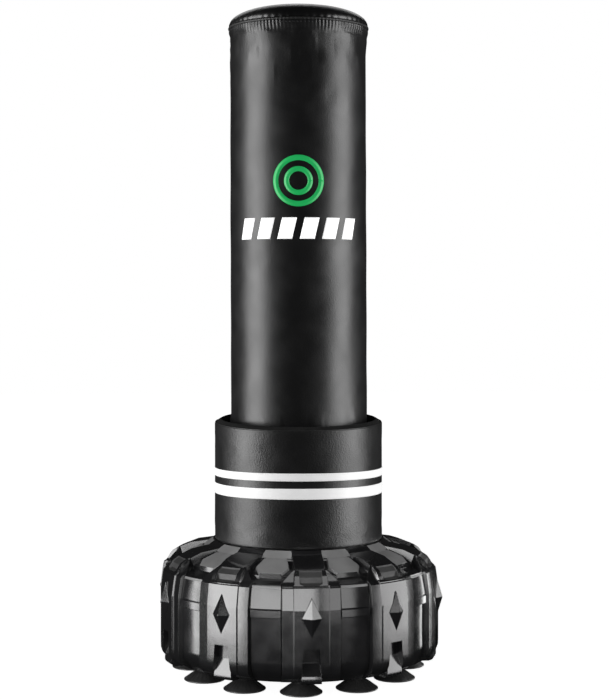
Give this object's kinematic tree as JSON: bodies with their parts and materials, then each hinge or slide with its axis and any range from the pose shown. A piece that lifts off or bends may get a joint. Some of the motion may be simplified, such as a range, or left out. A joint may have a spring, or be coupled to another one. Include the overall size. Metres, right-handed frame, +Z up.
{
  "type": "spring reflex bag",
  "caption": "Free-standing spring reflex bag: padded cylinder on a coil spring inside a striped padded collar, on a ribbed water-filled base with suction cups",
  "frame": {"origin": "on the floor, at the middle of the base and on the bag's axis", "axes": "+Z up along the bag; -Y the front; +X to the right of a person facing the front"},
  "size_m": [0.585, 0.608, 1.38],
  "materials": {
    "tank": "gloss black blow-moulded polyethylene, raised ribs",
    "cup_rubber": "matte black suction rubber",
    "gasket_rubber": "matte black sealing ring",
    "buffer_rubber": "dark red elastomer",
    "black_steel": "black powder coat",
    "steel": "plain drawn tube",
    "zinc_steel": "zinc plated",
    "spring_steel": "dark oiled spring wire",
    "plug_plastic": "moulded black plastic",
    "bag_leather": "black synthetic leather, soft sheen",
    "welt_leather": "black piping",
    "collar_leather": "black grained synthetic leather",
    "white_tape": "white band, satin",
    "bag_foam": "grey closed-cell foam, taken as a padded fabric",
    "collar_foam": "grey closed-cell foam, taken as a padded fabric",
    "boarding": "plain board"
  },
  "bodies": {
    "base": {"base_tank": "tank", "suction_cup_01": "cup_rubber", "suction_cup_02": "cup_rubber", "suction_cup_03": "cup_rubber", "suction_cup_04": "cup_rubber", "suction_cup_05": "cup_rubber", "suction_cup_06": "cup_rubber", "suction_cup_07": "cup_rubber", "suction_cup_08": "cup_rubber", "suction_cup_09": "cup_rubber", "suction_cup_10": "cup_rubber", "suction_cup_11": "cup_rubber", "suction_cup_12": "cup_rubber", "post_flange": "black_steel", "base_post": "black_steel", "lower_spring_seat": "black_steel", "cup_stud_01": "zinc_steel", "cup_stud_02": "zinc_steel", "cup_stud_03": "zinc_steel", "cup_stud_04": "zinc_steel", "cup_stud_05": "zinc_steel", "cup_stud_06": "zinc_steel", "cup_stud_07": "zinc_steel", "cup_stud_08": "zinc_steel", "cup_stud_09": "zinc_steel", "cup_stud_10": "zinc_steel", "cup_stud_11": "zinc_steel", "cup_stud_12": "zinc_steel", "flange_bolt_1": "zinc_steel", "flange_bolt_2": "zinc_steel", "flange_bolt_3": "zinc_steel", "flange_bolt_4": "zinc_steel", "post_cross_bolt": "zinc_steel", "collar_base_ring": "plug_plastic", "collar_cover": "collar_leather", "collar_flap": "collar_leather", "collar_stripe_upper": "white_tape", "collar_stripe_lower": "white_tape", "collar_foam": "collar_foam"},
    "spring_unit": {"main_spring": "spring_steel"},
    "buffer": {"buffer_core": "buffer_rubber"},
    "bag": {"upper_spring_seat": "black_steel", "bag_pole": "steel", "pole_cross_bolt": "zinc_steel", "pole_end_cap": "plug_plastic", "pole_spacer_lower": "plug_plastic", "pole_spacer_upper": "plug_plastic", "bag_foot_board": "boarding", "bag_core": "plug_plastic", "bag_foam": "bag_foam", "top_board": "boarding", "top_pad": "bag_foam", "top_cover": "bag_leather", "top_welt": "welt_leather", "bag_cover": "bag_leather"},
    "plug_seal": {"fill_gasket": "gasket_rubber"},
    "plug": {"fill_plug": "plug_plastic"}
  },
  "joints": [
    {"name": "lean_front_back", "type": "hinge", "parent": "base", "child": "spring_unit", "pos_m": [0, 0, 0.512], "axis": [1, 0, 0], "range_deg": [-15, 15], "stiffness_Nm_per_rad": 360, "deforming": ["main_spring", "buffer_core"]},
    {"name": "lean_sideways", "type": "hinge", "parent": "spring_unit", "child": "buffer", "pos_m": [0, 0, 0.512], "axis": [0, 1, 0], "range_deg": [-15, 15], "stiffness_Nm_per_rad": 360, "deforming": ["main_spring", "buffer_core"]},
    {"name": "twist", "type": "hinge", "parent": "buffer", "child": "bag", "pos_m": [0, 0, 0.512], "axis": [0, 0, 1], "range_deg": [-8, 8], "stiffness_Nm_per_rad": 60},
    {"name": "plug_rise", "type": "slide", "parent": "base", "child": "plug_seal", "axis": [0, 0, 1], "range_m": [0, 0.012]},
    {"name": "plug_turn", "type": "hinge", "parent": "plug_seal", "child": "plug", "pos_m": [0, 0.209, 0.28], "axis": [0, 0, 1], "range_deg": [0, 1080]}
  ],
  "couplings": [
    {"joint": "plug_turn", "follows": "plug_rise", "rad_per_m": 1570.8}
  ]
}
